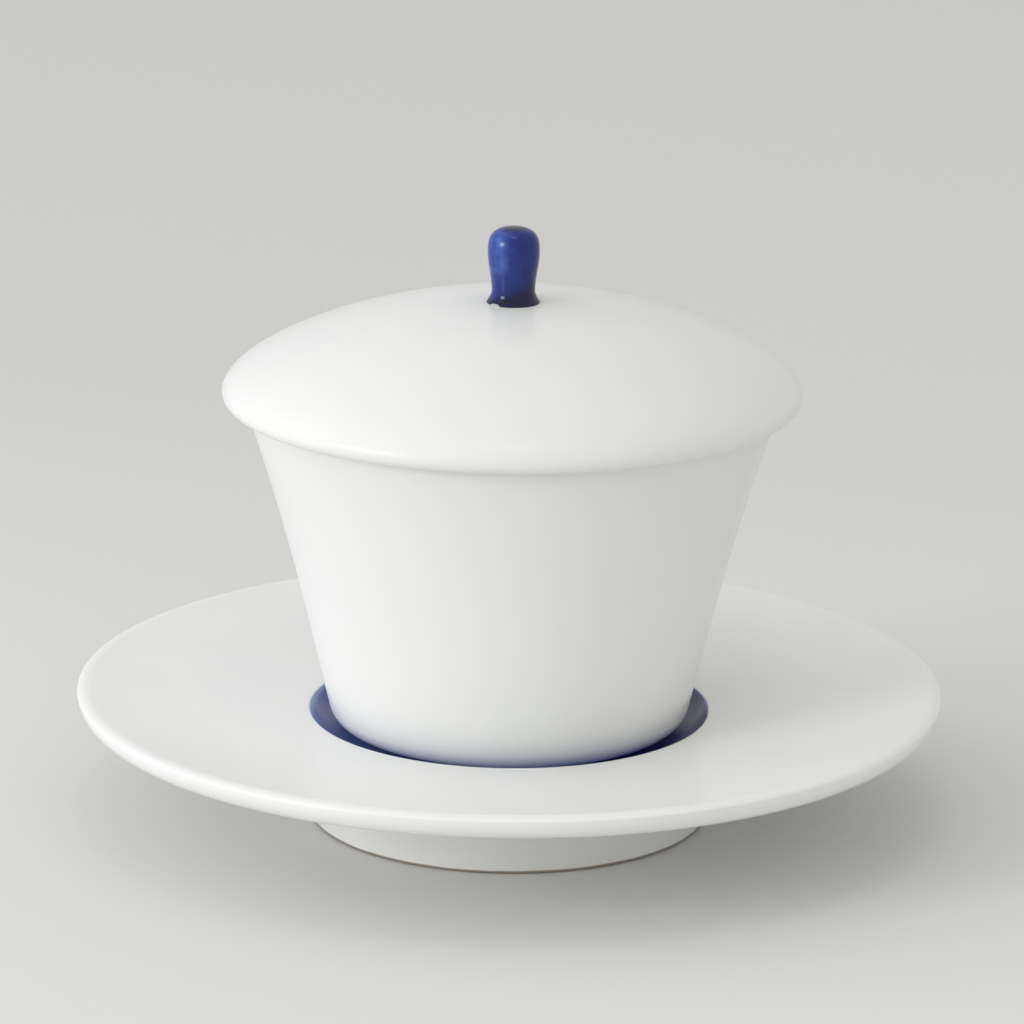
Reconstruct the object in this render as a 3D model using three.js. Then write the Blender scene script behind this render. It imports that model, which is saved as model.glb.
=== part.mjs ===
// A lidded porcelain tea cup on its saucer: a footed saucer with a cobalt-glazed well, a flaring
// cup that stands in the well, a domed lid that drops into the cup's mouth, and a cobalt knob
// luted to the crown of the lid. Every piece is turned about the Z axis.
// Units are millimetres, +Z is up, and the origin is on the table at the centre of the foot ring.
import * as THREE from 'three';

// Saucer: foot ring, dish and well
const footHeight = 13.35; // table to the underside of the dish
const footInset = 0.5; // foot ring at the table, inside the edge of the well
const footFlare = 0.6; // how much wider the foot ring is where it meets the dish
const footWall = 3.2;
const footEdge = 0.6; // rounding of the two edges that stand on the table
const footFillet = 2.5; // hollow fillet between the foot ring and the dish
const recessCorner = 2;
const saucerRadius = 70;
const dishThickness = 4.5; // at the edge of the well
const dishRise = 4.1; // edge of the well to the top of the rim
const dishSag = 0.8; // how far the dish hangs below a straight line from well to rim
const rimTopReach = 1.6; // how far in from the edge the top of the rim rolls over
const rimTopDrop = 0.7; // how far the top of the rim rolls down to the widest place
const rimUnderReach = 3.4; // how far in the underside of the rim tucks
const rimUnderDrop = 3.4; // how far below the widest place the underside of the rim ends
const rimCrestEnd = 110; // degrees, where the roll of the rim runs into the dish
const wellDepth = 3.6;
const wellSlopeWidth = 7; // from the edge of the well in to its flat floor
const wellLipReach = 1.75; // how far in the steep lip of the well pulls its slope
const wellLipDrop = 2.2; // how far down the steep lip pulls it
const wellRunOut = 3.15; // how far out the level floor pulls it
const wellFloorThickness = 4.1;
const wellMargin = 3.4; // room between the cup's base and the edge of the well
const glazeThickness = 0.5; // cobalt glaze pooled in the well
const glazeSeam = 0.3;

// Cup
const cupHeight = 56.1; // foot to mouth
const cupFootRadius = 22.2;
const cupFootWall = 2.6;
const cupFootHeight = 0.8;
const cupFootEdge = 0.3;
const cupHeelHeight = 4.55; // foot to the start of the wall
const cupHeelRound = 4.2;
const cupHeelEnd = -75; // degrees, where the heel's rounding meets the bottom
const cupBaseRadius = 29.2; // outside, at the start of the wall
const cupMouthRadius = 43.4; // outside, at the mouth
const cupFlare = 2.15; // part of the spread that comes late, near the mouth
const cupWall = 3;
const cupLipRound = 0.6;
const cupFloorThickness = 4;
const cupInnerCorner = 7;

// Lid
const lidRise = 15.1; // seat on the cup's mouth to the flat crown
const lidThickness = 4.3;
const lidSkirtDepth = 1.1; // how far the edge hangs below the mouth
const lidSkirtClearance = 0.8;
const lidEdgeRound = 1.6; // outer rounding of the hanging edge
const lidEdgeInnerRound = 0.7;
const lidShoulderRise = 5; // how far the edge climbs before the dome turns in
const lidCrownReach = 19.2; // how far the dome stays level out from the crown
const lidFlangeDepth = 4; // locating flange that drops into the mouth
const lidFlangeWall = 3;
const lidFlangeClearance = 0.6;
const lidFlangeRound = 1;

// Knob
const knobHeight = 12.25;
const knobRadius = 4.1;
const knobTopHeight = 8.3; // base to the widest place
const knobNeckRadius = 3.53;
const knobNeckHeight = 1.6;
const knobShoulderRise = 1.5; // how far the side climbs before the top turns in
const knobTopReach = 4; // how far the top stays level out from its middle
const knobBaseRadius = 4.35;
const knobBaseEdge = 0.15;
const knobLandMargin = 0.4; // flat crown of the lid showing round the knob's base

// Fineness of the turned surfaces
const turnSegments = 64;
const knobSegments = 32;
const curveSteps = 7;
const cornerSteps = 3;
const wallSteps = 8;
const samePoint = 1e-4; // outline points closer than this are one point

// Levels and radii that follow from the sizes above
const wellRadius = cupBaseRadius + wellMargin;
const wellEdgeZ = footHeight + dishThickness;
const wellFloorZ = wellEdgeZ - wellDepth;
const saucerTopZ = wellEdgeZ + dishRise;
const mouthZ = wellFloorZ + cupHeight;
const crownZ = mouthZ + lidRise;
const cupWallStartZ = wellFloorZ + cupHeelHeight;
const cupLean = (cupMouthRadius - cupBaseRadius - cupFlare) / (mouthZ - cupWallStartZ);

const at = (r, z) => new THREE.Vector2(r, z);

// A round stretch of an outline, by its centre and its angles in degrees.
function arc(r, z, radius, from, to, steps = cornerSteps) {
  return oval(r, z, radius, radius, from, to, steps);
}

function oval(r, z, halfWidth, halfHeight, from, to, steps) {
  const start = THREE.MathUtils.degToRad(from);
  const end = THREE.MathUtils.degToRad(to);
  return new THREE.EllipseCurve(r, z, halfWidth, halfHeight, start, end, to < from).getPoints(steps);
}

// A sweeping stretch from start to end, pulled towards its two handles.
function sweep(start, startHandle, endHandle, end, steps = curveSteps) {
  return new THREE.CubicBezierCurve(start, startHandle, endHandle, end).getPoints(steps);
}

// Turns an outline of (radius, height) points about the Z axis. The outline runs up the outside.
function turned(name, outline, material, segments = turnSegments) {
  const points = outline.flat().filter((p, i, all) => i === 0 || p.distanceTo(all[i - 1]) > samePoint);
  const geometry = new THREE.LatheGeometry(points, segments);
  geometry.rotateX(Math.PI / 2);
  const mesh = new THREE.Mesh(geometry, material);
  mesh.name = name;
  return mesh;
}

function porcelain() {
  return new THREE.MeshStandardMaterial({ color: 0xe6e6e3, roughness: 0.28, metalness: 0 });
}

function cobaltGlaze(color) {
  return new THREE.MeshStandardMaterial({ color, roughness: 0.15, metalness: 0 });
}

// The slope of the well from its edge down to its floor: steep at the lip, then running out level.
function wellSlope(inset, depth) {
  const edge = at(wellRadius - inset, wellEdgeZ);
  const floor = at(edge.x - wellSlopeWidth, edge.y - depth);
  return sweep(
    edge,
    at(edge.x - wellLipReach, edge.y - wellLipDrop),
    at(floor.x + wellRunOut, floor.y),
    floor,
  );
}

function saucer() {
  const footRadius = wellRadius - footInset;
  const recessRadius = footRadius - footWall;
  const recessZ = wellFloorZ - glazeThickness - wellFloorThickness;
  const footTop = footRadius + footFlare;
  const widestZ = saucerTopZ - rimTopDrop;
  const filletEnd = at(footTop + footFillet, footHeight);
  const rimUnder = at(saucerRadius - rimUnderReach, widestZ - rimUnderDrop);
  const undersideHandle = (rimUnder.x - filletEnd.x) / 3;
  const crest = oval(saucerRadius - rimTopReach, widestZ, rimTopReach, rimTopDrop, 0, rimCrestEnd, curveSteps);
  const rimInner = crest.at(-1);
  const wellEdge = at(wellRadius, wellEdgeZ);
  const dishMiddle = rimInner.clone().lerp(wellEdge, 0.5).sub(at(0, dishSag));
  return turned('saucer', [
    at(0, recessZ),
    arc(recessRadius - recessCorner, recessZ - recessCorner, recessCorner, 90, 0),
    arc(recessRadius + footEdge, footEdge, footEdge, 180, 270),
    arc(footRadius - footEdge, footEdge, footEdge, -90, 0),
    arc(footTop + footFillet, footHeight - footFillet, footFillet, 180, 90),
    sweep(
      filletEnd,
      at(filletEnd.x + undersideHandle, filletEnd.y),
      at(rimUnder.x - undersideHandle, rimUnder.y),
      rimUnder,
    ),
    oval(rimUnder.x, widestZ, rimUnderReach, rimUnderDrop, -90, 0, curveSteps),
    crest,
    new THREE.QuadraticBezierCurve(rimInner, dishMiddle, wellEdge).getPoints(curveSteps),
    wellSlope(0, wellDepth + glazeThickness),
    at(0, wellFloorZ - glazeThickness),
  ], porcelain());
}

// The cobalt glaze fills the well as a thin fired coat. It lies on the well's floor, and the cup
// stands on it.
function wellGlaze() {
  return turned('well_glaze', [
    at(0, wellFloorZ - glazeThickness),
    wellSlope(glazeSeam, wellDepth + glazeThickness).reverse(),
    wellSlope(glazeSeam + glazeThickness, wellDepth),
    at(0, wellFloorZ),
  ], cobaltGlaze(0x1f2a5c));
}

// Outside radius of the cup's wall: a straight lean, and a flare that grows towards the mouth.
function cupRadiusAt(z) {
  const rise = z - cupWallStartZ;
  const share = rise / (mouthZ - cupWallStartZ);
  return cupBaseRadius + cupLean * rise + cupFlare * share ** 3;
}

function cupWallPoints(fromZ, toZ, thickness) {
  return Array.from({ length: wallSteps + 1 }, (_, i) => {
    const z = THREE.MathUtils.lerp(fromZ, toZ, i / wallSteps);
    return at(cupRadiusAt(z) - thickness, z);
  });
}

function cup() {
  const footInner = cupFootRadius - cupFootWall;
  const bottomZ = wellFloorZ + cupFootHeight;
  const wallTilt = Math.atan(cupLean);
  const heelR = cupBaseRadius - cupHeelRound * Math.cos(wallTilt);
  const heelZ = cupWallStartZ + cupHeelRound * Math.sin(wallTilt);
  const floorZ = bottomZ + cupFloorThickness;
  const cornerZ = floorZ + cupInnerCorner;
  const innerCornerR = cupRadiusAt(cornerZ) - cupWall - cupInnerCorner;
  const lipZ = mouthZ - cupLipRound;
  const lipOuter = cupRadiusAt(lipZ) - cupLipRound;
  const lipInner = cupRadiusAt(lipZ) - cupWall + cupLipRound;
  return turned('cup', [
    at(0, bottomZ),
    at(footInner, bottomZ),
    arc(footInner + cupFootEdge, wellFloorZ + cupFootEdge, cupFootEdge, 180, 270),
    arc(cupFootRadius - cupFootEdge, wellFloorZ + cupFootEdge, cupFootEdge, -90, 0),
    at(cupFootRadius, bottomZ),
    arc(heelR, heelZ, cupHeelRound, cupHeelEnd, -THREE.MathUtils.radToDeg(wallTilt)),
    cupWallPoints(cupWallStartZ, lipZ, 0),
    arc(lipOuter, lipZ, cupLipRound, 0, 90),
    arc(lipInner, lipZ, cupLipRound, 90, 180),
    cupWallPoints(lipZ, cornerZ, cupWall),
    arc(innerCornerR, cornerZ, cupInnerCorner, 0, -90),
    at(0, floorZ),
  ], porcelain());
}

function lid() {
  const skirtInner = cupMouthRadius + lidSkirtClearance;
  const lidRadius = skirtInner + lidEdgeInnerRound + lidEdgeRound;
  const edgeBottomZ = mouthZ - lidSkirtDepth;
  const widestZ = edgeBottomZ + lidEdgeRound;
  const flangeTop = cupMouthRadius - cupWall - lidFlangeClearance;
  const flangeBottomZ = mouthZ - lidFlangeDepth;
  const flangeBottom = cupRadiusAt(flangeBottomZ) - cupWall - lidFlangeClearance;
  const flangeInner = flangeBottom - lidFlangeWall;
  const hollowRise = lidRise - lidThickness;
  const landRadius = knobBaseRadius + knobLandMargin;
  return turned('lid', [
    oval(0, mouthZ, flangeInner, hollowRise, 90, 0, curveSteps),
    arc(flangeInner + lidFlangeRound, flangeBottomZ + lidFlangeRound, lidFlangeRound, 180, 270),
    arc(flangeBottom - lidFlangeRound, flangeBottomZ + lidFlangeRound, lidFlangeRound, -90, 0),
    at(flangeTop, mouthZ),
    at(skirtInner, mouthZ),
    arc(skirtInner + lidEdgeInnerRound, edgeBottomZ + lidEdgeInnerRound, lidEdgeInnerRound, 180, 270),
    arc(lidRadius - lidEdgeRound, widestZ, lidEdgeRound, -90, 0),
    sweep(
      at(lidRadius, widestZ),
      at(lidRadius, widestZ + lidShoulderRise),
      at(landRadius + lidCrownReach, crownZ),
      at(landRadius, crownZ),
      curveSteps + cornerSteps,
    ),
    at(0, crownZ),
  ], porcelain());
}

// The knob stands flat on the crown: a short flared base, a neck, and a stem that swells to a
// softly flattened top.
function knob() {
  const baseZ = crownZ;
  const neckZ = baseZ + knobNeckHeight;
  const widestZ = baseZ + knobTopHeight;
  const topZ = baseZ + knobHeight;
  const stemHandle = (widestZ - neckZ) / 3;
  const flareEdge = at(knobBaseRadius, baseZ + knobBaseEdge);
  const neck = at(knobNeckRadius, neckZ);
  const flareBend = at(neck.x, (flareEdge.y + neck.y) / 2);
  return turned('knob', [
    at(0, baseZ),
    at(knobBaseRadius, baseZ),
    new THREE.QuadraticBezierCurve(flareEdge, flareBend, neck).getPoints(cornerSteps),
    sweep(
      neck,
      at(knobNeckRadius, neckZ + stemHandle),
      at(knobRadius, widestZ - stemHandle),
      at(knobRadius, widestZ),
      cornerSteps,
    ),
    sweep(
      at(knobRadius, widestZ),
      at(knobRadius, widestZ + knobShoulderRise),
      at(knobTopReach, topZ),
      at(0, topZ),
    ),
  ], cobaltGlaze(0x33407c), knobSegments);
}

const liddedCup = new THREE.Group();
liddedCup.add(saucer(), wellGlaze(), cup(), lid(), knob());

export default liddedCup;
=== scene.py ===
# %% [markdown]
# # A lidded porcelain cup on its saucer
#
# The CAD model holds the real sizes and the joints. This lesson gives it its looks: smooth turned
# porcelain, two cobalt glazes, a table and soft studio light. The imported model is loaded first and
# kept still, because every piece made here takes its place from it.

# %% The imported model
import math

import bmesh
import bpy
from mathutils import Matrix, Vector


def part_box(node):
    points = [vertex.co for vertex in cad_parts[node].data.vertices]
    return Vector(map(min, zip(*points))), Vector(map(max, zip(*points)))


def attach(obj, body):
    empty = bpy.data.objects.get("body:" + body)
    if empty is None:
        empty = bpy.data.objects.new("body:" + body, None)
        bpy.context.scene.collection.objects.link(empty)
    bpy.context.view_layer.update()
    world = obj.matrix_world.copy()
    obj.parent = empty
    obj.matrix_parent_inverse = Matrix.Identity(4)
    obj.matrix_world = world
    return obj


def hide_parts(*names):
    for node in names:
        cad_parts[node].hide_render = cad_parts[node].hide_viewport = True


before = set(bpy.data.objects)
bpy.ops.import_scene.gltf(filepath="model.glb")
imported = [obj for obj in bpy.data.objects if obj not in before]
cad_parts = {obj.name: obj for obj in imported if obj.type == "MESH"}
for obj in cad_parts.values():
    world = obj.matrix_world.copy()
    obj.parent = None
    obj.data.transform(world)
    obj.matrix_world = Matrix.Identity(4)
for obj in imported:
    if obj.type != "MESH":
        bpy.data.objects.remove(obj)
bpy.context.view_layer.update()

MM = 0.001

# %% [markdown]
# ## Camera
#
# A long lens a metre away looks slightly down on the set. The elevation decides how open the
# ellipses of rim and lid look, so it is set before anything else is judged. The small roll
# follows a camera that was not quite level.

# %% Camera
VIEW_DISTANCE = 1.0
VIEW_ELEVATION = math.radians(15.66)
VIEW_ROLL = math.radians(0.6)
LOOK_AT = Vector((0.15 * MM, 0, 50.59 * MM))
SENSOR_WIDTH = 36.0
FOCAL_LENGTH = 218.25


def make_camera():
    back = Vector((0, -math.cos(VIEW_ELEVATION), math.sin(VIEW_ELEVATION)))
    level_right = Vector((1, 0, 0))
    level_up = back.cross(level_right)
    right = math.cos(VIEW_ROLL) * level_right + math.sin(VIEW_ROLL) * level_up
    up = math.cos(VIEW_ROLL) * level_up - math.sin(VIEW_ROLL) * level_right
    camera = bpy.data.objects.new("camera", bpy.data.cameras.new("camera"))
    camera.data.sensor_width = SENSOR_WIDTH
    camera.data.lens = FOCAL_LENGTH
    turn = Matrix((right, up, back)).transposed().to_4x4()
    camera.matrix_world = Matrix.Translation(LOOK_AT + VIEW_DISTANCE * back) @ turn
    bpy.context.scene.collection.objects.link(camera)
    bpy.context.scene.camera = camera
    return camera


camera = make_camera()
bpy.context.scene.view_settings.view_transform = "Standard"
print("camera at", [round(c, 3) for c in camera.location])

# %% [markdown]
# ## Wiring materials
#
# Every finish here is a small web of shader nodes. A few helpers keep that readable: they add one
# node with its settings and inputs, such as a sum, an eased ramp, a mix of two colours or a noise.
# Another pair starts a node group with named sockets and places it, so that an effect is built once
# and used by several materials.

# %% Node helpers


def add(tree, kind, inputs=None, **settings):
    """A new node in tree. inputs gives each socket a value, or another node's output."""
    node = tree.nodes.new(kind)
    for name, value in settings.items():
        setattr(node, name, value)
    for name, value in (inputs or {}).items():
        if isinstance(value, bpy.types.NodeSocket):
            tree.links.new(value, node.inputs[name])
        else:
            node.inputs[name].default_value = value
    return node


def math_node(tree, operation, first, second=0.0, clamp=False):
    node = add(tree, "ShaderNodeMath", {0: first, 1: second}, operation=operation, use_clamp=clamp)
    return node.outputs[0]


def ramp(tree, value, low, high, to_low=0.0, to_high=1.0):
    """value from low to high becomes to_low to to_high, eased at both ends."""
    spans = {"Value": value, "From Min": low, "From Max": high, "To Min": to_low, "To Max": to_high}
    node = add(tree, "ShaderNodeMapRange", spans, interpolation_type="SMOOTHSTEP")
    return node.outputs["Result"]


def mix_colour(tree, share, first, second):
    return add(tree, "ShaderNodeMix", {0: share, 6: first, 7: second}, data_type="RGBA").outputs[2]


def noise(tree, where, scale, detail, roughness=0.5):
    """Cloudy noise from 0 to 1 at a place."""
    node = add(tree, "ShaderNodeTexNoise",
               {"Vector": where, "Scale": scale, "Detail": detail, "Roughness": roughness})
    return node.outputs["Fac"]


def along(tree, where, direction):
    """How far a place lies along a direction."""
    node = add(tree, "ShaderNodeVectorMath", {0: where, 1: direction}, operation="DOT_PRODUCT")
    return node.outputs["Value"]


def new_group(name, inputs, outputs):
    """An empty node group with named sockets, and its two end nodes."""
    group = bpy.data.node_groups.new(name, "ShaderNodeTree")
    for socket_name, kind, default in inputs:
        socket = group.interface.new_socket(socket_name, in_out="INPUT", socket_type=kind)
        socket.default_value = default
    for socket_name, kind in outputs:
        group.interface.new_socket(socket_name, in_out="OUTPUT", socket_type=kind)
    return group, group.nodes.new("NodeGroupInput"), group.nodes.new("NodeGroupOutput")


def use_group(tree, group, inputs):
    return add(tree, "ShaderNodeGroup", inputs, node_tree=group)


def new_material(name):
    material = bpy.data.materials.new(name)
    material.use_nodes = True
    tree = material.node_tree
    return material, tree, tree.nodes["Principled BSDF"]


# %% [markdown]
# ## The skin of a fired glaze
#
# A glaze is a thin glass that melted and ran, so it is never quite even: it has slow ripples that
# bend a highlight, a faint peel like an orange's, and spots a little duller than the rest. One
# group makes all three from noise in the object's own coordinates, so nothing depends on unwrapping.

# %% Glaze skin group
FLOAT = "NodeSocketFloat"
COLOUR = "NodeSocketColor"
DULL_SPOTS = 60.0
DULL_FROM = 0.2
DULL_TO = 0.8


def make_glaze_skin():
    group, given, result = new_group(
        "glaze_skin",
        [("Ripple Scale", FLOAT, 60.0), ("Peel Scale", FLOAT, 900.0), ("Peel Share", FLOAT, 0.15),
         ("Gloss", FLOAT, 0.12), ("Dullness", FLOAT, 0.1)],
        [("Mottle", FLOAT), ("Roughness", FLOAT), ("Height", FLOAT)],
    )
    where = add(group, "ShaderNodeTexCoord").outputs["Object"]
    ripple = noise(group, where, given.outputs["Ripple Scale"], 2.0)
    peel = noise(group, where, given.outputs["Peel Scale"], 1.0)
    mottle = ramp(group, noise(group, where, DULL_SPOTS, 1.5), DULL_FROM, DULL_TO)
    dull = math_node(group, "MULTIPLY", mottle, given.outputs["Dullness"])
    small = math_node(group, "MULTIPLY", peel, given.outputs["Peel Share"])
    group.links.new(mottle, result.inputs["Mottle"])
    group.links.new(math_node(group, "ADD", dull, given.outputs["Gloss"]), result.inputs["Roughness"])
    group.links.new(math_node(group, "ADD", ripple, small), result.inputs["Height"])
    return group


def ripple_bump(tree, shader, skin, strength, depth):
    """Bend the shading of a material by the height of its glaze skin."""
    bump = add(tree, "ShaderNodeBump",
               {"Strength": strength, "Distance": depth, "Height": skin.outputs["Height"]})
    tree.links.new(bump.outputs["Normal"], shader.inputs["Normal"])


glaze_skin = make_glaze_skin()
outputs = [socket.name for socket in glaze_skin.interface.items_tree if socket.in_out == "OUTPUT"]
print("group", glaze_skin.name, "puts out", outputs)

# %% [markdown]
# ## Where the glaze stops
#
# Pots are wiped clean of glaze where they stand in the kiln, or they would stick to the shelf. The
# wiped band ends in a slightly wavering line. A group turns height into that mask: it is 1 on the
# bare clay below the line and 0 on the glaze above it.

# %% Wiped band group
BAND_WAVES = 140.0


def make_wiped_band():
    group, given, result = new_group(
        "wiped_band",
        [("Level", FLOAT, 0.0006), ("Waver", FLOAT, 0.0002), ("Softness", FLOAT, 0.0001)],
        [("Bare", FLOAT)],
    )
    where = add(group, "ShaderNodeTexCoord").outputs["Object"]
    height = add(group, "ShaderNodeSeparateXYZ", {"Vector": where}).outputs["Z"]
    wave = math_node(group, "SUBTRACT", noise(group, where, BAND_WAVES, 3.0), 0.5)
    drift = math_node(group, "MULTIPLY", wave, given.outputs["Waver"])
    line = math_node(group, "ADD", given.outputs["Level"], drift)
    above = math_node(group, "ADD", line, given.outputs["Softness"])
    bare = ramp(group, height, line, above, 1.0, 0.0)
    group.links.new(bare, result.inputs["Bare"])
    return group


wiped_band = make_wiped_band()
print("group", wiped_band.name, "is ready")

# %% [markdown]
# ## White porcelain
#
# Porcelain is a pale, dense body under clear glaze. It is not pure white: the glaze gives it a
# breath of blue where it lies thick and the clay a breath of cream. Saucer, cup and lid share one
# white, scaled by a few hundredths per piece: painted light on the saucer, painted shade on the cup
# and lid. The bare clay of the wiped band is matt, warmer and a little grey from the kiln shelf.

# %% Porcelain material
GLAZED_WHITE = (0.83, 0.83, 0.815, 1)
COOL_WHITE = (0.81, 0.818, 0.818, 1)
BARE_CLAY = (0.46, 0.41, 0.345, 1)
STAINED_CLAY = (0.30, 0.26, 0.215, 1)
CLAY_GRAIN = 2500.0
CLAY_MATTNESS = 0.6
PORCELAIN_REFLECTION = 0.3
GLAZE_RIPPLE = 0.12
GLAZE_RIPPLE_DEPTH = 0.15 * MM


def toned(colour, share):
    """The colour, lighter or darker by a share."""
    return tuple(share * c for c in colour[:3]) + (1,)


def porcelain(name, wiped_level, painted_brightness):
    material, tree, shader = new_material(name)
    skin = use_group(tree, glaze_skin, {"Ripple Scale": 45.0, "Gloss": 0.21, "Dullness": 0.05})
    band = use_group(tree, wiped_band, {"Level": wiped_level, "Waver": 0.35 * MM, "Softness": 0.12 * MM})
    bare = band.outputs["Bare"]
    # Painted light and shade: the glaze white is scaled per piece, lighter on the saucer and darker on the
    # cup and lid.
    glaze = mix_colour(tree, skin.outputs["Mottle"], toned(GLAZED_WHITE, painted_brightness),
                       toned(COOL_WHITE, painted_brightness))
    grain = add(tree, "ShaderNodeTexNoise", {"Scale": CLAY_GRAIN, "Detail": 3.0}).outputs["Fac"]
    clay = mix_colour(tree, ramp(tree, grain, 0.4, 0.6), BARE_CLAY, STAINED_CLAY)
    tree.links.new(mix_colour(tree, bare, glaze, clay), shader.inputs["Base Color"])
    matt = math_node(tree, "MULTIPLY", bare, CLAY_MATTNESS)
    tree.links.new(math_node(tree, "ADD", skin.outputs["Roughness"], matt, clamp=True),
                   shader.inputs["Roughness"])
    ripple_bump(tree, shader, skin, GLAZE_RIPPLE, GLAZE_RIPPLE_DEPTH)
    shader.inputs["Specular IOR Level"].default_value = PORCELAIN_REFLECTION
    print(f"{name} is glazed above {wiped_level / MM:.2f} mm")
    return material


# %% [markdown]
# ## Cobalt glaze
#
# Cobalt colours a glaze so strongly that thickness is everything: a pool is nearly black, a thin
# coat over an edge lets the white clay through as pale blue. The group takes a thinness from 0 to 1
# and returns the colour, with clouds added before the colour is looked up.

# %% Cobalt group
FULL_COAT = 0.4


def make_cobalt():
    group, given, result = new_group(
        "cobalt_coat",
        [("Thinness", FLOAT, 0.0), ("Clouds", FLOAT, 0.3), ("Cloud Scale", FLOAT, 350.0),
         ("Deep", COLOUR, (0.006, 0.009, 0.05, 1)), ("Full", COLOUR, (0.03, 0.045, 0.19, 1)),
         ("Thin", COLOUR, (0.16, 0.25, 0.52, 1))],
        [("Color", COLOUR)],
    )
    where = add(group, "ShaderNodeTexCoord").outputs["Object"]
    cloud = math_node(group, "SUBTRACT", noise(group, where, given.outputs["Cloud Scale"], 4.0, 0.55), 0.5)
    drift = math_node(group, "MULTIPLY", cloud, given.outputs["Clouds"])
    coat = math_node(group, "ADD", given.outputs["Thinness"], drift, clamp=True)
    pooled = ramp(group, coat, 0.0, FULL_COAT)
    lower = mix_colour(group, pooled, given.outputs["Deep"], given.outputs["Full"])
    colour = mix_colour(group, ramp(group, coat, FULL_COAT, 1.0), lower, given.outputs["Thin"])
    group.links.new(colour, result.inputs["Color"])
    return group


cobalt_coat = make_cobalt()
print("group", cobalt_coat.name, "is ready")

# %% [markdown]
# ## Turning outlines
#
# Every piece of this set was thrown or moulded round, so each mesh is an outline of radius and
# height turned about the Z axis. Arcs, ovals and swept curves give the outline, closely stepped so
# that highlights run smoothly, and a helper turns it, shades it and hands it to its CAD body.

# %% Outline helpers
TURNS = 192
ARC_STEPS = 10
SWEEP_STEPS = 36
SAME_POINT = 1e-7


def oval(r, z, half_width, half_height, start, end, steps=SWEEP_STEPS):
    """Points on an oval from the start angle to the end angle, in degrees."""
    angles = [math.radians(start + (end - start) * i / steps) for i in range(steps + 1)]
    return [(r + half_width * math.cos(a), z + half_height * math.sin(a)) for a in angles]


def arc(r, z, radius, start, end, steps=ARC_STEPS):
    return oval(r, z, radius, radius, start, end, steps)


def sweep(start, start_handle, end_handle, end, steps=SWEEP_STEPS):
    """A cubic curve from start to end, pulled towards its two handles."""
    points = []
    for i in range(steps + 1):
        t = i / steps
        weights = ((1 - t) ** 3, 3 * (1 - t) ** 2 * t, 3 * (1 - t) * t ** 2, t ** 3)
        corners = (start, start_handle, end_handle, end)
        points.append(tuple(sum(w * c[k] for w, c in zip(weights, corners)) for k in (0, 1)))
    return points


def joined(*stretches):
    """One outline from single points and stretches, without repeated points."""
    points = []
    for stretch in stretches:
        for point in (stretch if isinstance(stretch, list) else [stretch]):
            if not points or math.dist(point, points[-1]) > SAME_POINT:
                points.append(point)
    return points


def ring(bm, r, z, turns):
    if r < SAME_POINT:
        return [bm.verts.new((0, 0, z))]
    angles = [2 * math.pi * i / turns for i in range(turns)]
    return [bm.verts.new((r * math.cos(a), r * math.sin(a), z)) for a in angles]


def bridge(bm, low, high, turns):
    for i in range(turns):
        j = (i + 1) % turns
        corners = [low[i % len(low)], low[j % len(low)], high[j % len(high)], high[i % len(high)]]
        bm.faces.new(list(dict.fromkeys(corners)))


def turned(name, outline, material, turns=TURNS):
    """A closed mesh: outline turned about Z. The outline runs up the outside of the piece."""
    bm = bmesh.new()
    rings = [ring(bm, r, z, turns) for r, z in outline]
    for low, high in zip(rings, rings[1:]):
        bridge(bm, low, high, turns)
    mesh = bpy.data.meshes.new(name)
    bm.to_mesh(mesh)
    bm.free()
    mesh.shade_smooth()
    mesh.materials.append(material)
    piece = bpy.data.objects.new(name, mesh)
    bpy.context.scene.collection.objects.link(piece)
    print(name, "has", len(outline), "outline points and", len(mesh.polygons), "faces")
    return piece


def stand_for(piece, body, node):
    """The piece rides on its body and replaces its CAD node, which is hidden."""
    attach(piece, body)
    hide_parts(node)


# %% [markdown]
# ## The levels that the pieces share
#
# The set stacks: saucer, glaze, cup, lid, knob. Reading the levels from the CAD boxes keeps the
# smooth pieces exactly where the solids are, so seats still meet when the lid is lifted and put back.

# %% Shared levels
saucer_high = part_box("saucer")[1]
glaze_low, glaze_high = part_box("well_glaze")
cup_low, cup_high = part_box("cup")
knob_low, knob_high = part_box("knob")
SAUCER_RADIUS = saucer_high.x
RIM_TOP = saucer_high.z
WELL_EDGE = glaze_high.z
WELL_BED = glaze_low.z
WELL_FLOOR = cup_low.z
MOUTH = cup_high.z
CROWN = knob_low.z
for level, height in (("rim", RIM_TOP), ("well edge", WELL_EDGE), ("well floor", WELL_FLOOR),
                      ("mouth", MOUTH), ("crown", CROWN), ("knob top", knob_high.z)):
    print(f"{level} at {height / MM:.2f} mm")

# %% [markdown]
# ## Saucer
#
# The saucer is a thick dish with a soft rolled rim on a tall foot ring. The dish hangs slightly
# hollow between rim and well, and a fillet joins it to the foot. The well has a rounded lip, which
# catches the light as a fine bright line against the blue, and slopes from there to a level floor.

# %% Saucer sizes
WELL_RADIUS = 32.6 * MM
WELL_SLOPE_WIDTH = 7.0 * MM
WELL_RUN_OUT = 3.15 * MM
WELL_LIP = 0.8 * MM
WELL_LIP_PULL = 2.4 * MM
WELL_LIP_TURN = 52
LIP_CENTRE = WELL_RADIUS + 0.3 * MM
FOOT_RADIUS = WELL_RADIUS - 0.5 * MM
FOOT_FLARE = 0.6 * MM
FOOT_WALL = 3.2 * MM
FOOT_EDGE = 0.6 * MM
FOOT_FILLET = 2.5 * MM
FOOT_HEIGHT = 13.35 * MM
RECESS_CORNER = 2.0 * MM
RECESS_TOP = WELL_BED - 4.1 * MM
RIM_TOP_REACH = 1.6 * MM
RIM_TOP_DROP = 0.7 * MM
RIM_UNDER_REACH = 3.4 * MM
RIM_UNDER_DROP = 3.4 * MM
RIM_CREST_END = 110
DISH_SAG = 0.8 * MM
WIPED_FOOT = 0.5 * MM
# Painted light: the saucer's white is scaled up.
SAUCER_PAINTED_BRIGHTNESS = 1.03
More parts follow.
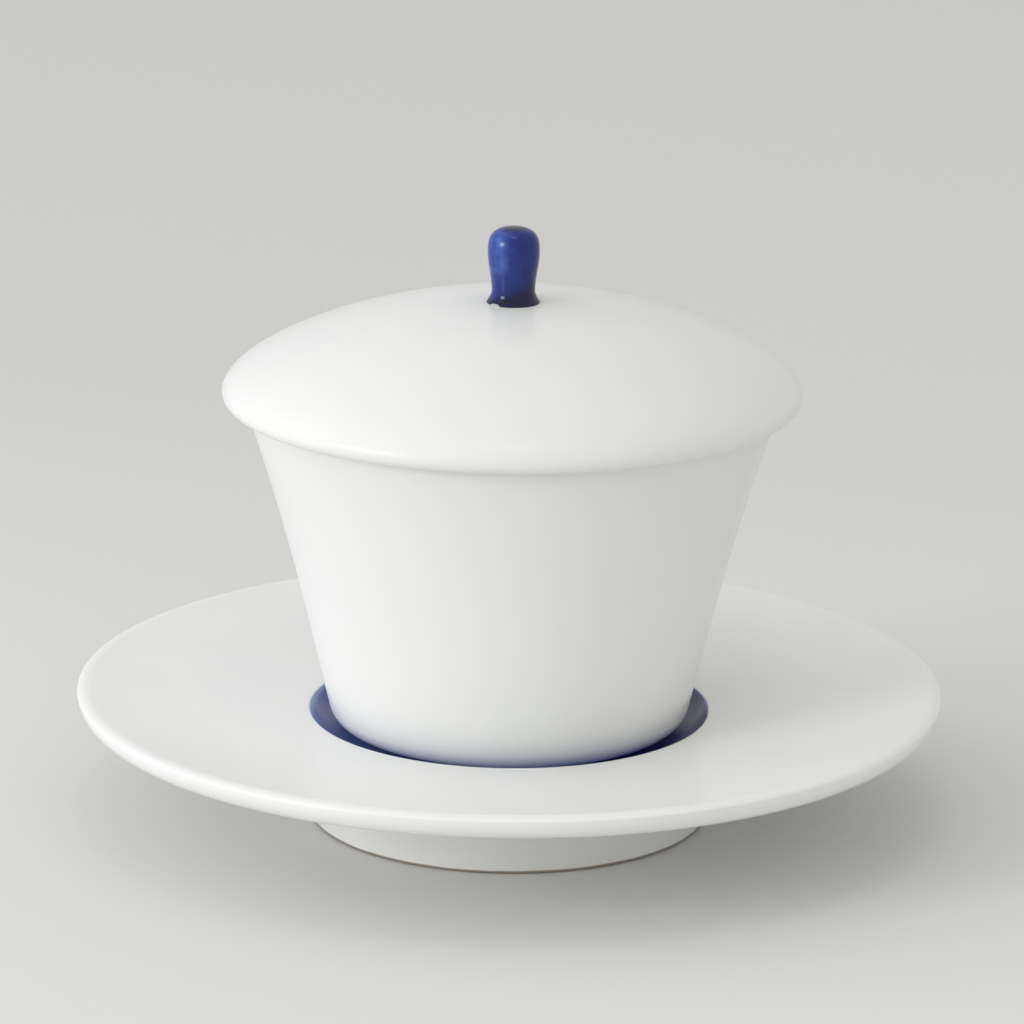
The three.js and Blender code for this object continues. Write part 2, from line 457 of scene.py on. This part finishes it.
print(f"foot {2 * FOOT_RADIUS / MM:.1f} mm across, well {2 * WELL_RADIUS / MM:.1f} mm across")

# %% Saucer outline


def lip_point(raised, angle):
    """A point over the rounded lip of the well, raised above the clay."""
    turn, reach = math.radians(angle), WELL_LIP + raised
    return LIP_CENTRE + reach * math.cos(turn), WELL_EDGE - WELL_LIP + reach * math.sin(turn)


def well_slope(raised, floor):
    """From the end of the lip down the slope of the well to its level floor."""
    tilt = math.radians(WELL_LIP_TURN)
    start = lip_point(raised, 90 + WELL_LIP_TURN)
    steep = (start[0] - WELL_LIP_PULL * math.cos(tilt), start[1] - WELL_LIP_PULL * math.sin(tilt))
    end = (WELL_RADIUS - WELL_SLOPE_WIDTH, floor)
    return sweep(start, steep, (end[0] + WELL_RUN_OUT, floor), end)


def saucer_outline():
    recess = FOOT_RADIUS - FOOT_WALL
    foot_top = FOOT_RADIUS + FOOT_FLARE
    widest = RIM_TOP - RIM_TOP_DROP
    under = (SAUCER_RADIUS - RIM_UNDER_REACH, widest - RIM_UNDER_DROP)
    fillet_end = (foot_top + FOOT_FILLET, FOOT_HEIGHT)
    pull = (under[0] - fillet_end[0]) / 3
    crest = oval(SAUCER_RADIUS - RIM_TOP_REACH, widest, RIM_TOP_REACH, RIM_TOP_DROP, 0, RIM_CREST_END)
    rim_inner = crest[-1]
    lip = (LIP_CENTRE, WELL_EDGE)
    hang = ((rim_inner[0] + lip[0]) / 2, (rim_inner[1] + lip[1]) / 2 - DISH_SAG)
    near_rim = tuple((a + 2 * b) / 3 for a, b in zip(rim_inner, hang))
    near_lip = tuple((a + 2 * b) / 3 for a, b in zip(lip, hang))
    return joined(
        (0, RECESS_TOP),
        arc(recess - RECESS_CORNER, RECESS_TOP - RECESS_CORNER, RECESS_CORNER, 90, 0),
        arc(recess + FOOT_EDGE, FOOT_EDGE, FOOT_EDGE, 180, 270),
        arc(FOOT_RADIUS - FOOT_EDGE, FOOT_EDGE, FOOT_EDGE, -90, 0),
        arc(foot_top + FOOT_FILLET, FOOT_HEIGHT - FOOT_FILLET, FOOT_FILLET, 180, 90),
        sweep(fillet_end, (fillet_end[0] + pull, FOOT_HEIGHT), (under[0] - pull, under[1]), under),
        oval(under[0], widest, RIM_UNDER_REACH, RIM_UNDER_DROP, -90, 0),
        crest,
        sweep(rim_inner, near_rim, near_lip, lip),
        arc(LIP_CENTRE, WELL_EDGE - WELL_LIP, WELL_LIP, 90, 90 + WELL_LIP_TURN),
        well_slope(0, WELL_BED),
        (0, WELL_BED),
    )


saucer_glaze = porcelain("porcelain_saucer", WIPED_FOOT, SAUCER_PAINTED_BRIGHTNESS)
saucer = turned("saucer_turned", saucer_outline(), saucer_glaze)
stand_for(saucer, "saucer", "saucer")

# %% [markdown]
# ## Glaze in the well
#
# The well was flooded with cobalt glaze. It lies deep on the floor, thins up the slope and runs out
# to nothing over the lip, where the white clay shows through it. The coat is read thicker towards
# the back right, where it is darker and its pale edge narrower, and thinner and paler towards the
# front left. The thinness that drives the colour is read from the height and from that direction.

# %% Well glaze colour
TOWARD_BACK_RIGHT = (0.5, 0.87, 0)
BACK_RIGHT_END = 0.6 * WELL_RADIUS
THIN_FLOOR, THICK_FLOOR = 0.70, 0.12
THIN_LIP, THICK_LIP = 1.0, 0.55
THIN_PALE_BAND, THICK_PALE_BAND = 1.6 * MM, 0.5 * MM
PALEST_BELOW_EDGE = 0.1 * MM
RUN_OUT_FROM, RUN_OUT_TO = 0.16 * MM, 0.03 * MM
WELL_DEEP = (0.012, 0.014, 0.085, 1)
WELL_BLUE = (0.042, 0.058, 0.34, 1)
WELL_THIN = (0.26, 0.38, 0.64, 1)
WELL_IOR = 1.5


def cobalt_well():
    material, tree, shader = new_material("cobalt_well")
    where = add(tree, "ShaderNodeTexCoord").outputs["Object"]
    height = add(tree, "ShaderNodeSeparateXYZ", {"Vector": where}).outputs["Z"]
    # The coat is read thicker and darker towards the back right, thinner and paler towards the front left.
    toward_back_right = ramp(tree, along(tree, where, TOWARD_BACK_RIGHT), -WELL_RADIUS, BACK_RIGHT_END)
    on_floor = ramp(tree, toward_back_right, 0.0, 1.0, THIN_FLOOR, THICK_FLOOR)
    at_lip = ramp(tree, toward_back_right, 0.0, 1.0, THIN_LIP, THICK_LIP)
    pale_from = ramp(tree, toward_back_right, 0.0, 1.0, WELL_EDGE - THIN_PALE_BAND, WELL_EDGE - THICK_PALE_BAND)
    thinness = ramp(tree, height, pale_from, WELL_EDGE - PALEST_BELOW_EDGE, on_floor, at_lip)
    coat = use_group(tree, cobalt_coat, {"Thinness": thinness, "Clouds": 0.22, "Cloud Scale": 300.0,
                                         "Deep": WELL_DEEP, "Full": WELL_BLUE, "Thin": WELL_THIN})
    run_out = ramp(tree, height, WELL_EDGE - RUN_OUT_FROM, WELL_EDGE - RUN_OUT_TO)
    colour = mix_colour(tree, run_out, coat.outputs["Color"], GLAZED_WHITE)
    skin = use_group(tree, glaze_skin, {"Ripple Scale": 90.0, "Gloss": 0.16, "Dullness": 0.1})
    tree.links.new(colour, shader.inputs["Base Color"])
    tree.links.new(skin.outputs["Roughness"], shader.inputs["Roughness"])
    ripple_bump(tree, shader, skin, GLAZE_RIPPLE, GLAZE_RIPPLE_DEPTH)
    shader.inputs["IOR"].default_value = WELL_IOR
    return material


well_finish = cobalt_well()
print("material", well_finish.name, "has", len(well_finish.node_tree.nodes), "nodes")

# %% Well glaze coat
COAT_GAP = 0.01 * MM
COAT_WALL = 0.08 * MM
COAT_END = 104


def lip_coat(thin, thick):
    """Over the lip, from where the coat ends to the slope, growing from thin to thick."""
    last = 90 + WELL_LIP_TURN
    points = []
    for i in range(ARC_STEPS + 1):
        share = i / ARC_STEPS
        points.append(lip_point(thin + (thick - thin) * share, COAT_END + (last - COAT_END) * share))
    return points


def glaze_outline():
    back = lip_coat(COAT_GAP, COAT_GAP) + well_slope(COAT_GAP, WELL_BED)
    return joined(
        (0, WELL_BED),
        back[::-1],
        lip_coat(2 * COAT_GAP, COAT_GAP + COAT_WALL),
        well_slope(COAT_GAP + COAT_WALL, WELL_FLOOR),
        (0, WELL_FLOOR),
    )


well_glaze = turned("well_glaze_pool", glaze_outline(), well_finish)
stand_for(well_glaze, "saucer", "well_glaze")

# %% [markdown]
# ## Cup
#
# The cup leans outward in a nearly straight line and flares a little more near the mouth. The wall
# is a formula in the height, used for the outside and, one wall thickness in, for the inside. A
# rounded heel carries it over to the low foot that hides in the well.

# %% Cup sizes
CUP_FOOT_RADIUS = 22.2 * MM
CUP_FOOT_WALL = 2.6 * MM
CUP_FOOT_HEIGHT = 0.8 * MM
CUP_FOOT_EDGE = 0.3 * MM
CUP_HEEL_HEIGHT = 4.55 * MM
CUP_HEEL_ROUND = 4.2 * MM
CUP_HEEL_END = -75
CUP_BASE_RADIUS = 29.2 * MM
CUP_MOUTH_RADIUS = 43.4 * MM
CUP_FLARE = 2.15 * MM
CUP_FLARE_POWER = 3
CUP_WALL = 3.0 * MM
CUP_LIP_ROUND = 0.6 * MM
CUP_FLOOR = 4.0 * MM
CUP_INNER_CORNER = 7.0 * MM
WALL_START = WELL_FLOOR + CUP_HEEL_HEIGHT
CUP_LEAN = (CUP_MOUTH_RADIUS - CUP_BASE_RADIUS - CUP_FLARE) / (MOUTH - WALL_START)
WIPED_CUP_FOOT = WELL_FLOOR + 0.3 * MM
# Painted shade: the cup's white is scaled down.
CUP_PAINTED_BRIGHTNESS = 0.98
print(f"the wall leans out by {math.degrees(math.atan(CUP_LEAN)):.1f} degrees")

# %% Cup outline


def cup_radius(z):
    rise = z - WALL_START
    share = rise / (MOUTH - WALL_START)
    return CUP_BASE_RADIUS + CUP_LEAN * rise + CUP_FLARE * share ** CUP_FLARE_POWER


def cup_wall(start, end, thickness):
    heights = [start + (end - start) * i / SWEEP_STEPS for i in range(SWEEP_STEPS + 1)]
    return [(cup_radius(z) - thickness, z) for z in heights]


def cup_outline():
    foot_inner = CUP_FOOT_RADIUS - CUP_FOOT_WALL
    bottom = WELL_FLOOR + CUP_FOOT_HEIGHT
    tilt = math.atan(CUP_LEAN)
    heel = (CUP_BASE_RADIUS - CUP_HEEL_ROUND * math.cos(tilt), WALL_START + CUP_HEEL_ROUND * math.sin(tilt))
    floor = bottom + CUP_FLOOR
    corner = floor + CUP_INNER_CORNER
    lip = MOUTH - CUP_LIP_ROUND
    foot_edge = WELL_FLOOR + CUP_FOOT_EDGE
    return joined(
        (0, bottom),
        (foot_inner, bottom),
        arc(foot_inner + CUP_FOOT_EDGE, foot_edge, CUP_FOOT_EDGE, 180, 270),
        arc(CUP_FOOT_RADIUS - CUP_FOOT_EDGE, foot_edge, CUP_FOOT_EDGE, -90, 0),
        (CUP_FOOT_RADIUS, bottom),
        arc(*heel, CUP_HEEL_ROUND, CUP_HEEL_END, -math.degrees(tilt)),
        cup_wall(WALL_START, lip, 0),
        arc(cup_radius(lip) - CUP_LIP_ROUND, lip, CUP_LIP_ROUND, 0, 90),
        arc(cup_radius(lip) - CUP_WALL + CUP_LIP_ROUND, lip, CUP_LIP_ROUND, 90, 180),
        cup_wall(lip, corner, CUP_WALL),
        arc(cup_radius(corner) - CUP_WALL - CUP_INNER_CORNER, corner, CUP_INNER_CORNER, 0, -90),
        (0, floor),
    )


cup_glaze = porcelain("porcelain_cup", WIPED_CUP_FOOT, CUP_PAINTED_BRIGHTNESS)
cup = turned("cup_turned", cup_outline(), cup_glaze)
stand_for(cup, "cup", "cup")

# %% [markdown]
# ## Lid
#
# The lid is a low dome. Its rounded edge hangs just past the cup's mouth, a flat seat bears on the
# lip, and a flange drops inside to keep it centred. The flange is where the lid stood in the kiln,
# so its tip is wiped bare.

# %% Lid
SKIRT_DEPTH = 1.1 * MM
SKIRT_CLEARANCE = 0.8 * MM
EDGE_ROUND = 1.6 * MM
EDGE_INNER_ROUND = 0.7 * MM
SHOULDER_RISE = 5.0 * MM
CROWN_REACH = 19.2 * MM
FLANGE_DEPTH = 4.0 * MM
FLANGE_WALL = 3.0 * MM
FLANGE_CLEARANCE = 0.6 * MM
FLANGE_ROUND = 1.0 * MM
LID_THICKNESS = 4.3 * MM
LAND_RADIUS = 4.75 * MM
WIPED_FLANGE = MOUTH - FLANGE_DEPTH + 0.5 * MM
# Painted shade: the lid's white is scaled down.
LID_PAINTED_BRIGHTNESS = 0.975


def lid_outline():
    skirt = CUP_MOUTH_RADIUS + SKIRT_CLEARANCE
    radius = skirt + EDGE_INNER_ROUND + EDGE_ROUND
    edge = MOUTH - SKIRT_DEPTH
    widest = edge + EDGE_ROUND
    tip = MOUTH - FLANGE_DEPTH
    flange_top = CUP_MOUTH_RADIUS - CUP_WALL - FLANGE_CLEARANCE
    flange = cup_radius(tip) - CUP_WALL - FLANGE_CLEARANCE
    hollow = flange - FLANGE_WALL
    return joined(
        oval(0, MOUTH, hollow, CROWN - LID_THICKNESS - MOUTH, 90, 0),
        arc(hollow + FLANGE_ROUND, tip + FLANGE_ROUND, FLANGE_ROUND, 180, 270),
        arc(flange - FLANGE_ROUND, tip + FLANGE_ROUND, FLANGE_ROUND, -90, 0),
        (flange_top, MOUTH),
        (skirt, MOUTH),
        arc(skirt + EDGE_INNER_ROUND, edge + EDGE_INNER_ROUND, EDGE_INNER_ROUND, 180, 270),
        arc(radius - EDGE_ROUND, widest, EDGE_ROUND, -90, 0),
        sweep((radius, widest), (radius, widest + SHOULDER_RISE), (LAND_RADIUS + CROWN_REACH, CROWN),
              (LAND_RADIUS, CROWN)),
        (0, CROWN),
    )


lid_glaze = porcelain("porcelain_lid", WIPED_FLANGE, LID_PAINTED_BRIGHTNESS)
lid = turned("lid_turned", lid_outline(), lid_glaze)
stand_for(lid, "lid", "lid")

# %% [markdown]
# ## Knob
#
# The knob is a small stem with a flared base, rolled by hand and luted to the crown with slip. The
# cobalt was brushed on in one turn, so it is streaky. Its left, towards the light, is painted paler
# and its right darker as painted light and shade; the coat darkens to nearly black at the base. A
# missed patch of slip at the base is painted grey as shade, and a dark painted reflection caps the top.

# %% Knob sizes
KNOB_TURNS = 96
KNOB_RADIUS = 4.16 * MM
KNOB_NECK = 3.48 * MM
KNOB_BASE = 4.3 * MM
KNOB_BASE_EDGE = 0.05 * MM
KNOB_SKIRT_LEAN = 32
KNOB_SKIRT_RISE = 0.5 * MM
KNOB_NECK_PULL = 0.7 * MM
KNOB_NECK_HEIGHT = 1.9 * MM
KNOB_WIDEST = 8.3 * MM
KNOB_SHOULDER_RISE = 1.9 * MM
KNOB_TOP_REACH = 4.0 * MM
print(f"knob {2 * KNOB_RADIUS / MM:.1f} mm across and {(knob_high.z - CROWN) / MM:.2f} mm tall")

# %% Knob slip, brushwork and painted light and shade
SLIP_PATCH = (-3.0 * MM, -3.1 * MM, CROWN)
SLIP_FLATTENING = (1.0, 1.0, 3.0)
SLIP_INNER, SLIP_OUTER = 0.85 * MM, 1.1 * MM
BRUSH_SCALE = (330.0, 330.0, 170.0)
STREAK_THINNESS = 0.14
# Painted light and shade: the coat is read thinner and paler on the left, which faces the light, and
# thicker and darker on the right.
PAINTED_LIT_SIDE, PAINTED_SHADED_SIDE = 0.55, 0.22
# The coat is read thicker, so darker, lower down the knob, and thicker still at the base.
LOW_DARKENING = 0.30
BASE_DARKENING = 0.25
# Painted reflection: the top of the knob is painted darker, standing for a dark ceiling mirrored in the
# glaze.
REFLECTION_CAP_FROM, REFLECTION_CAP_TO, PAINTED_REFLECTION_BY = 0.5 * MM, 0.1 * MM, 0.35


def slip_gap(tree, where):
    """1 on the patch at the base where the brush missed and white slip shows, else 0."""
    away = add(tree, "ShaderNodeVectorMath", {0: where, 1: SLIP_PATCH}, operation="SUBTRACT")
    flat = add(tree, "ShaderNodeVectorMath", {0: away.outputs["Vector"], 1: SLIP_FLATTENING},
               operation="MULTIPLY")
    distance = add(tree, "ShaderNodeVectorMath", {0: flat.outputs["Vector"]}, operation="LENGTH")
    return ramp(tree, distance.outputs["Value"], SLIP_INNER, SLIP_OUTER, 1.0, 0.0)


def knob_thinness(tree, where):
    """How thin the coat is: painted light and shade by side, brush streaks, darker low down, a painted
    reflection on top.
    """
    place = add(tree, "ShaderNodeSeparateXYZ", {"Vector": where}).outputs
    streaks = add(tree, "ShaderNodeMapping", {"Vector": where, "Scale": BRUSH_SCALE}).outputs["Vector"]
    streaky = ramp(tree, noise(tree, streaks, 1.0, 2.0), 0.3, 0.75, 0.0, STREAK_THINNESS)
    # Painted light and shade by side.
    painted_sides = ramp(tree, place["X"], -KNOB_RADIUS, KNOB_RADIUS, PAINTED_LIT_SIDE, PAINTED_SHADED_SIDE)
    # Darker lower down and at the base.
    darker_low = ramp(tree, place["Z"], CROWN, CROWN + KNOB_WIDEST, LOW_DARKENING, 0.0)
    darker_at_base = ramp(tree, place["Z"], CROWN, CROWN + KNOB_NECK_HEIGHT, BASE_DARKENING, 0.0)
    # Painted reflection of a dark ceiling on the top.
    painted_dark_reflection = ramp(tree, place["Z"], knob_high.z - REFLECTION_CAP_FROM, knob_high.z - REFLECTION_CAP_TO, 0.0, PAINTED_REFLECTION_BY)
    painted_sides_streaks_and_low = math_node(tree, "SUBTRACT", math_node(tree, "ADD", painted_sides, streaky), darker_low)
    return math_node(tree, "SUBTRACT", painted_sides_streaks_and_low, math_node(tree, "ADD", darker_at_base, painted_dark_reflection))


print("missed patch of slip", 2 * SLIP_OUTER / MM, "mm wide, cap", REFLECTION_CAP_FROM / MM, "mm deep")

# %% Knob glaze
# Painted shade: the missed patch's white slip is painted grey, as it lies in shade at the base of the knob.
SHADED_SLIP = (0.44, 0.44, 0.45, 1)
KNOB_DEEP = (0.004, 0.005, 0.035, 1)
KNOB_BLUE = (0.008, 0.022, 0.19, 1)
KNOB_THIN = (0.11, 0.22, 0.68, 1)
KNOB_REFLECTION = 0.42
KNOB_RIPPLE = 0.05
KNOB_RIPPLE_DEPTH = 0.1 * MM


def cobalt_knob():
    material, tree, shader = new_material("cobalt_knob")
    where = add(tree, "ShaderNodeTexCoord").outputs["Object"]
    coat = use_group(tree, cobalt_coat, {"Thinness": knob_thinness(tree, where),
                                         "Clouds": 0.45, "Cloud Scale": 420.0,
                                         "Deep": KNOB_DEEP, "Full": KNOB_BLUE, "Thin": KNOB_THIN})
    skin = use_group(tree, glaze_skin, {"Ripple Scale": 220.0, "Peel Share": 0.0, "Gloss": 0.15,
                                        "Dullness": 0.06})
    # The missed patch of slip, in painted shade.
    colour = mix_colour(tree, slip_gap(tree, where), coat.outputs["Color"], SHADED_SLIP)
    tree.links.new(colour, shader.inputs["Base Color"])
    tree.links.new(skin.outputs["Roughness"], shader.inputs["Roughness"])
    ripple_bump(tree, shader, skin, KNOB_RIPPLE, KNOB_RIPPLE_DEPTH)
    shader.inputs["Specular IOR Level"].default_value = KNOB_REFLECTION
    return material


knob_finish = cobalt_knob()
print("material", knob_finish.name, "has", len(knob_finish.node_tree.nodes), "nodes")

# %% Knob outline


def knob_outline():
    top = knob_high.z
    neck = CROWN + KNOB_NECK_HEIGHT
    widest = CROWN + KNOB_WIDEST
    pull = (widest - neck) / 3
    foot = CROWN + KNOB_BASE_EDGE
    lean = KNOB_SKIRT_RISE * math.tan(math.radians(KNOB_SKIRT_LEAN))
    skirt = (KNOB_BASE - lean, foot + KNOB_SKIRT_RISE)
    return joined(
        (0, CROWN),
        (KNOB_BASE, CROWN),
        sweep((KNOB_BASE, foot), skirt, (KNOB_NECK, neck - KNOB_NECK_PULL), (KNOB_NECK, neck)),
        sweep((KNOB_NECK, neck), (KNOB_NECK, neck + pull), (KNOB_RADIUS, widest - pull),
              (KNOB_RADIUS, widest)),
        sweep((KNOB_RADIUS, widest), (KNOB_RADIUS, widest + KNOB_SHOULDER_RISE), (KNOB_TOP_REACH, top),
              (0, top)),
    )


knob = turned("knob_turned", knob_outline(), knob_finish, KNOB_TURNS)
stand_for(knob, "lid", "knob")

# %% [markdown]
# ## Table
#
# A pale paper-like table runs out past the picture on every side. Most of the light comes from the
# front left, and the table's colour is painted a little darker far off and to the right, as painted shade.

# %% Table paper
TABLE_GREY = (0.747, 0.747, 0.734, 1)
TABLE_ROUGHNESS = 0.9
TABLE_REFLECTION = 0.1
FIBRE_SCALE = 400.0
FIBRE_SHADE = 0.985
FAR_AND_RIGHT = (0.35, 0.94, 0)
SHADE_FROM, SHADE_TO = -0.03, 0.30
FAR_PAINTED_SHADE = 0.885


def table_paper():
    material, tree, shader = new_material("table_paper")
    where = add(tree, "ShaderNodeTexCoord").outputs["Object"]
    fibre = noise(tree, where, FIBRE_SCALE, 4.0)
    paper = mix_colour(tree, fibre, TABLE_GREY, toned(TABLE_GREY, FIBRE_SHADE))
    # Painted shade: the paper's colour darkens far off and to the right, standing for light falling off
    # from the front left.
    painted_shade = ramp(tree, along(tree, where, FAR_AND_RIGHT), SHADE_FROM, SHADE_TO, 1.0, FAR_PAINTED_SHADE)
    paper_in_painted_shade = add(tree, "ShaderNodeMix", {0: 1.0, 6: paper, 7: painted_shade}, data_type="RGBA", blend_type="MULTIPLY")
    tree.links.new(paper_in_painted_shade.outputs[2], shader.inputs["Base Color"])
    shader.inputs["Roughness"].default_value = TABLE_ROUGHNESS
    shader.inputs["Specular IOR Level"].default_value = TABLE_REFLECTION
    return material


paper_finish = table_paper()
print("material", paper_finish.name, "has", len(paper_finish.node_tree.nodes), "nodes")

# %% Table
TABLE_RADIUS = 4.0


def make_table(material):
    mesh = bpy.data.meshes.new("table")
    bm = bmesh.new()
    bmesh.ops.create_circle(bm, cap_ends=True, segments=96, radius=TABLE_RADIUS)
    bm.to_mesh(mesh)
    bm.free()
    mesh.materials.append(material)
    table = bpy.data.objects.new("table", mesh)
    bpy.context.scene.collection.objects.link(table)
    return table


table = make_table(paper_finish)
print("table", 2 * TABLE_RADIUS, "m across")

# %% [markdown]
# ## Light
#
# One square key lamp stands low at the front left, and its image is the white spot on the knob.
# A weak lamp overhead lifts the top of the lid. Everything else is soft. The surround is an even
# pale level that opens the shadows, with broad glows added about a few directions: a pale wall on
# the left, a bright ceiling corner, and light thrown back from the front. The camera sees a plain
# backdrop instead of the glows, and so do the reflections in the glaze.

# %% Lamps


def toward(azimuth, elevation):
    """The direction of a lamp or glow. Azimuth 0 is behind the camera, 90 is to its right."""
    around, up = math.radians(azimuth), math.radians(elevation)
    return Vector((math.sin(around) * math.cos(up), -math.cos(around) * math.cos(up), math.sin(up)))


def softbox(name, azimuth, elevation, distance, size, power, colour=(1, 1, 1)):
    """A square area lamp aimed at the middle of the set."""
    away = toward(azimuth, elevation)
    data = bpy.data.lights.new(name, "AREA")
    data.size = size
    data.energy = power
    data.color = colour
    lamp = bpy.data.objects.new(name, data)
    lamp.location = LOOK_AT + distance * away
    lamp.rotation_euler = away.to_track_quat("Z", "Y").to_euler()
    bpy.context.scene.collection.objects.link(lamp)
    return lamp


KEY_COLOUR = (1.01, 1.03, 0.95)
key = softbox("key", azimuth=-58, elevation=18, distance=1.5, size=0.46, power=5.8, colour=KEY_COLOUR)
overhead = softbox("overhead", azimuth=0, elevation=77, distance=1.6, size=0.45, power=1.1)
for lamp in (key, overhead):
    print(lamp.name, "lamp at", [round(c, 2) for c in lamp.location], "gives", lamp.data.energy, "W")

# %% Surround
SURROUND = (1.005, 1.006, 0.957, 1)
SURROUND_STRENGTH = 0.68
BACKDROP = (0.66, 0.66, 0.65, 1)
GLOWS = (
    # azimuth, elevation, sharpness, strength, colour
    (-90, 15, 6, 1.15, (0.95, 0.93, 1.14, 1)),
    (-110, 22, 20, 0.55, (0.95, 0.93, 1.14, 1)),
    (-50, 40, 8, 0.22, (0.97, 0.94, 1.09, 1)),
    (20, 8, 8, 0.36, (1.05, 1.10, 0.76, 1)),
)


def glow_share(tree, look, azimuth, elevation, sharpness, brightness):
    """How strong one glow is in the direction looked at."""
    aim = tuple(toward(azimuth, elevation))
    facing = math_node(tree, "MAXIMUM", along(tree, look, aim), 0.0)
    lobe = math_node(tree, "POWER", facing, sharpness)
    return math_node(tree, "MULTIPLY", lobe, brightness)


def make_surround(strength, glows):
    world = bpy.data.worlds.new("surround")
    world.use_nodes = True
    tree = world.node_tree
    look = add(tree, "ShaderNodeTexCoord").outputs["Generated"]
    total = add(tree, "ShaderNodeMix", {0: 1.0, 6: SURROUND, 7: (strength,) * 3 + (1,)}, data_type="RGBA",
                blend_type="MULTIPLY").outputs[2]
    for *place, colour in glows:
        share = glow_share(tree, look, *place)
        total = add(tree, "ShaderNodeMix", {0: share, 6: total, 7: colour}, data_type="RGBA",
                    blend_type="ADD", clamp_factor=False).outputs[2]
    path = add(tree, "ShaderNodeLightPath").outputs
    seen = math_node(tree, "MAXIMUM", path["Is Camera Ray"], path["Is Transmission Ray"])
    shown = math_node(tree, "MAXIMUM", seen, path["Is Glossy Ray"])
    background = tree.nodes["Background"]
    tree.links.new(mix_colour(tree, shown, total, BACKDROP), background.inputs["Color"])
    bpy.context.scene.world = world
    return world


surround = make_surround(SURROUND_STRENGTH, GLOWS)
print(surround.name, "has", len(GLOWS), "glows")
